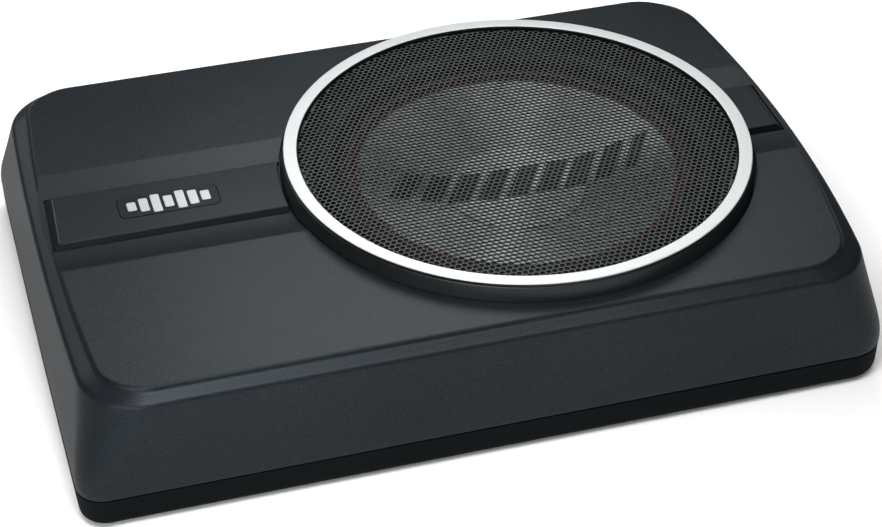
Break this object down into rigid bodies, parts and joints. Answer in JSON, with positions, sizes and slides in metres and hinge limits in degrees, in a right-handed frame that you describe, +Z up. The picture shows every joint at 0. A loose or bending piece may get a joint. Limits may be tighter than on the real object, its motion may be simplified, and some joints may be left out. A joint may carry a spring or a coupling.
{
  "type": "powered car subwoofer",
  "caption": "Slim under-seat powered subwoofer: wedge-sided plastic enclosure, shallow driver under a round perforated grille with metal ring, amplifier and rear connector panel.",
  "frame": {"origin": "centre of the footprint, on the surface that the rubber feet stand on", "axes": "+X along the long side, from the plain end to the driver end; +Y towards the wall with the connector panel; +Z up through the grille"},
  "size_m": [0.3412, 0.2338, 0.0679],
  "materials": {
    "housing_plastic": "fine moulded grain, matte charcoal",
    "tray_plastic": "matte black",
    "seal_foam": "closed-cell foam",
    "foot_rubber": "matte rubber",
    "screw_steel": "blackened steel",
    "trim_plastic": "fine grain, satin charcoal",
    "badge_metal": "satin silver on a dark plate",
    "ring_aluminium": "fine satin",
    "frame_plastic": "satin black",
    "mesh_steel": "satin dark grey coating",
    "basket_steel": "black powder coat",
    "surround_rubber": "matte rubber",
    "cone_pulp": "satin metallised silver",
    "accent_plastic": "satin dark red",
    "former_paper": "matte",
    "winding_copper": "enamelled wire",
    "spider_fabric": "resin-stiffened cotton",
    "motor_steel": "zinc plated",
    "magnet_ferrite": "matte ferrite",
    "fibre_board": "matte",
    "tinsel_braid": "braided",
    "circuit_board": "solder-mask satin",
    "heat_sink_aluminium": "extruded",
    "component_plastic": "moulded epoxy",
    "capacitor_sleeve": "shrink sleeve",
    "wire_insulation": "satin",
    "panel_plastic": "fine grain black",
    "socket_plastic": "satin black",
    "socket_plastic_light": "satin light grey",
    "contact_gold": "plated",
    "fuse_plastic": "clear tinted",
    "led_lens": "clear",
    "pot_metal": "plated",
    "knob_plastic": "fine matte"
  },
  "bodies": {
    "enclosure": {"top_housing": "housing_plastic", "bottom_tray": "tray_plastic", "housing_seal": "seal_foam", "foot_1": "foot_rubber", "foot_2": "foot_rubber", "foot_3": "foot_rubber", "foot_4": "foot_rubber", "case_screw_1": "screw_steel", "case_screw_2": "screw_steel", "case_screw_3": "screw_steel", "case_screw_4": "screw_steel", "trim_bar_left": "trim_plastic", "trim_bar_right": "trim_plastic", "badge": "badge_metal", "grille_ring": "ring_aluminium", "grille_frame": "frame_plastic", "grille_mesh": "mesh_steel", "driver_basket": "basket_steel", "driver_gasket": "seal_foam", "driver_screw_1": "screw_steel", "driver_screw_2": "screw_steel", "driver_screw_3": "screw_steel", "driver_screw_4": "screw_steel", "surround": "surround_rubber", "top_plate": "motor_steel", "magnet": "magnet_ferrite", "yoke": "motor_steel", "spider": "spider_fabric", "terminal_strip": "fibre_board", "tinsel_lead_left": "tinsel_braid", "tinsel_lead_right": "tinsel_braid", "amplifier_board": "circuit_board", "heat_sink": "heat_sink_aluminium", "power_transistor_1": "component_plastic", "power_transistor_2": "component_plastic", "capacitor_1": "capacitor_sleeve", "capacitor_2": "capacitor_sleeve", "transformer": "winding_copper", "jack_board": "circuit_board", "speaker_lead": "wire_insulation", "control_panel": "panel_plastic", "power_socket": "socket_plastic", "speaker_input_socket": "socket_plastic_light", "remote_control_jack": "socket_plastic", "rca_jack_left": "contact_gold", "rca_jack_right": "contact_gold", "fuse_holder": "socket_plastic", "power_led": "led_lens", "phase_switch_body": "component_plastic", "lowpass_pot": "pot_metal", "level_pot": "pot_metal"},
    "cone_assembly": {"cone": "cone_pulp", "accent_ring": "accent_plastic", "dust_cap": "cone_pulp", "coil_former": "former_paper", "coil_winding": "winding_copper"},
    "level_control": {"level_knob": "knob_plastic"},
    "lowpass_control": {"lowpass_knob": "knob_plastic"},
    "phase_control": {"phase_switch_slider": "knob_plastic"},
    "fuse": {"blade_fuse": "fuse_plastic"}
  },
  "joints": [
    {"name": "cone_travel", "type": "slide", "parent": "enclosure", "child": "cone_assembly", "axis": [0, 0, 1], "range_m": [-0.005, 0.005], "stiffness_N_per_m": 3000, "deforming": ["surround", "spider", "tinsel_lead_left", "tinsel_lead_right"]},
    {"name": "level_turn", "type": "hinge", "parent": "enclosure", "child": "level_control", "pos_m": [-0.0475, 0.1128, 0.044], "axis": [0, 1, 0], "range_deg": [-150, 150]},
    {"name": "lowpass_turn", "type": "hinge", "parent": "enclosure", "child": "lowpass_control", "pos_m": [-0.066, 0.1128, 0.044], "axis": [0, 1, 0], "range_deg": [-150, 150]},
    {"name": "phase_slide", "type": "slide", "parent": "enclosure", "child": "phase_control", "axis": [1, 0, 0], "range_m": [0, 0.004]},
    {"name": "fuse_pull", "type": "slide", "parent": "enclosure", "child": "fuse", "axis": [0, 1, 0], "range_m": [0, 0.014]}
  ]
}
